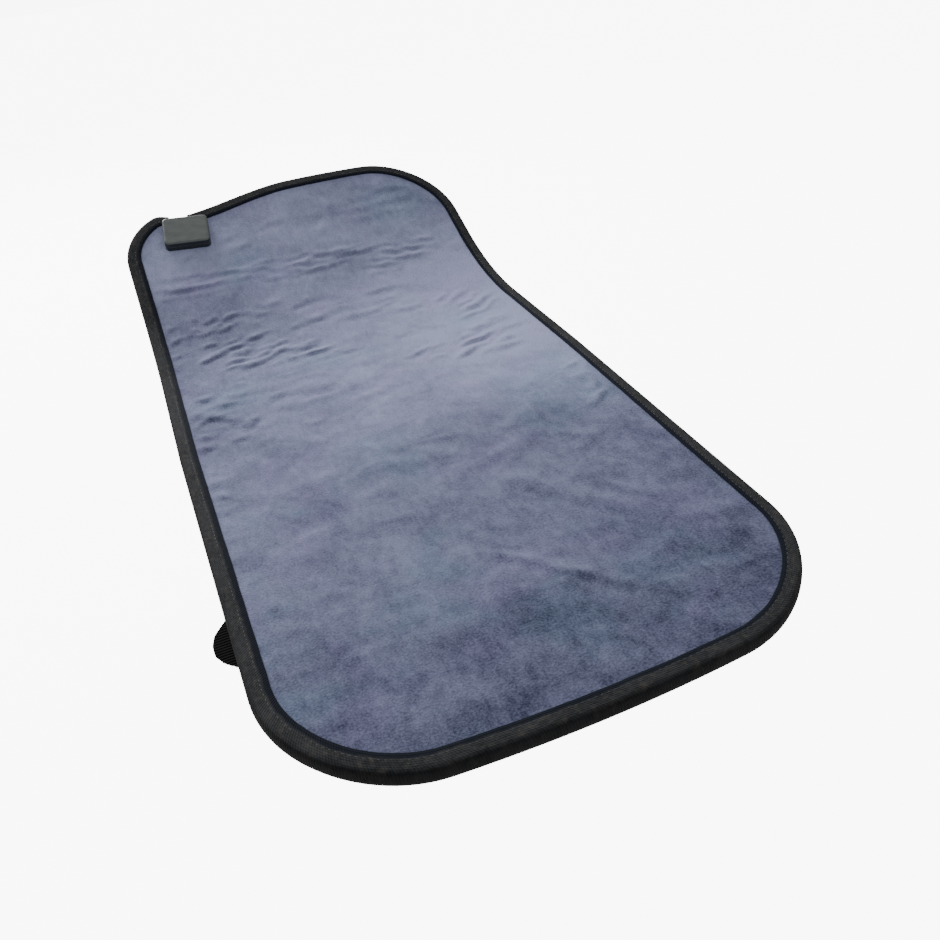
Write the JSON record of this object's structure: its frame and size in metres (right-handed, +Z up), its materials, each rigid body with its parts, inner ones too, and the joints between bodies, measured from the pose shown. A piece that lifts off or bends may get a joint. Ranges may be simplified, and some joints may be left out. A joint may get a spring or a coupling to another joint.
{
  "type": "infrared heat blanket",
  "caption": "Padded far-infrared heat blanket with a velvet face, a bound edge, a corner plug socket and a fixing strap.",
  "frame": {"origin": "on the centreline of the underside, 40 mm to the near side of the middle fold, on the face it rests on", "axes": "+Z up from the underside to the velvet, +Y along the length to the end with the socket, +X across the width, with the socket on the -X side"},
  "size_m": [0.309, 0.6134, 0.0853],
  "materials": {
    "velvet": "short brushed pile",
    "binding_tape": "ribbed woven tape",
    "oxford_cloth": "matt woven cloth",
    "wadding": "fluffy",
    "foil": "crinkled film",
    "felt": "needled felt",
    "heating_wire": "satin",
    "shell_plastic": "satin",
    "carrier_plastic": "matt",
    "board": "satin",
    "brass": "polished",
    "steel": "plain",
    "resin": "gloss",
    "lead_red": "satin",
    "lead_blue": "satin",
    "elastic": "ribbed elastic webbing",
    "hook_tape": "stiff hooks",
    "loop_tape": "soft loops"
  },
  "bodies": {
    "near_half": {"velvet_cover_near": "velvet", "top_wadding_near": "wadding", "heater_felt_near": "felt", "foil_reflector_near": "foil", "bottom_wadding_near": "wadding", "bottom_cover_near": "oxford_cloth", "edge_binding_near": "binding_tape", "heating_wire_near": "heating_wire", "overheat_thermostat": "steel", "loop_patch": "loop_tape"},
    "middle_quarter": {"velvet_cover_mid": "velvet", "top_wadding_mid": "wadding", "heater_felt_mid": "felt", "foil_reflector_mid": "foil", "bottom_wadding_mid": "wadding", "bottom_cover_mid": "oxford_cloth", "edge_binding_mid_left": "binding_tape", "edge_binding_mid_right": "binding_tape", "heating_wire_mid": "heating_wire"},
    "far_quarter": {"velvet_cover_far": "velvet", "top_wadding_far": "wadding", "heater_felt_far": "felt", "foil_reflector_far": "foil", "bottom_wadding_far": "wadding", "bottom_cover_far": "oxford_cloth", "edge_binding_far_left": "binding_tape", "edge_binding_far_right": "binding_tape", "heating_wire_far": "heating_wire", "temperature_sensor": "resin", "lead_live": "lead_red", "lead_neutral": "lead_blue", "socket_lower_shell": "shell_plastic", "socket_upper_shell": "shell_plastic", "socket_backplate": "carrier_plastic", "socket_board": "board", "contact_carrier": "carrier_plastic", "contact_pin_1": "brass", "contact_pin_2": "brass", "contact_pin_3": "brass", "contact_pin_4": "brass", "socket_screw_1": "steel", "socket_screw_2": "steel", "socket_screw_3": "steel", "socket_screw_4": "steel"},
    "strap": {"strap_elastic": "elastic"},
    "strap_tip": {"strap_end": "elastic", "hook_patch": "hook_tape"}
  },
  "joints": [
    {"name": "fold_middle", "type": "hinge", "parent": "near_half", "child": "middle_quarter", "pos_m": [0, 0.04, 0.0086], "axis": [1, 0, 0], "range_deg": [-30, 110], "stiffness_Nm_per_rad": 0.6},
    {"name": "fold_far", "type": "hinge", "parent": "middle_quarter", "child": "far_quarter", "pos_m": [0, 0.19492, 0.01442], "axis": [1, 0, 0], "range_deg": [-40, 80], "stiffness_Nm_per_rad": 1.5},
    {"name": "strap_swing", "type": "hinge", "parent": "near_half", "child": "strap", "pos_m": [0.146, -0.136, -0.0025], "axis": [0, -1, 0], "range_deg": [0, 170], "stiffness_Nm_per_rad": 0.3},
    {"name": "strap_peel", "type": "hinge", "parent": "strap", "child": "strap_tip", "pos_m": [-0.098, -0.136, -0.0039], "axis": [0, -1, 0], "range_deg": [0, 120], "stiffness_Nm_per_rad": 0.1}
  ]
}
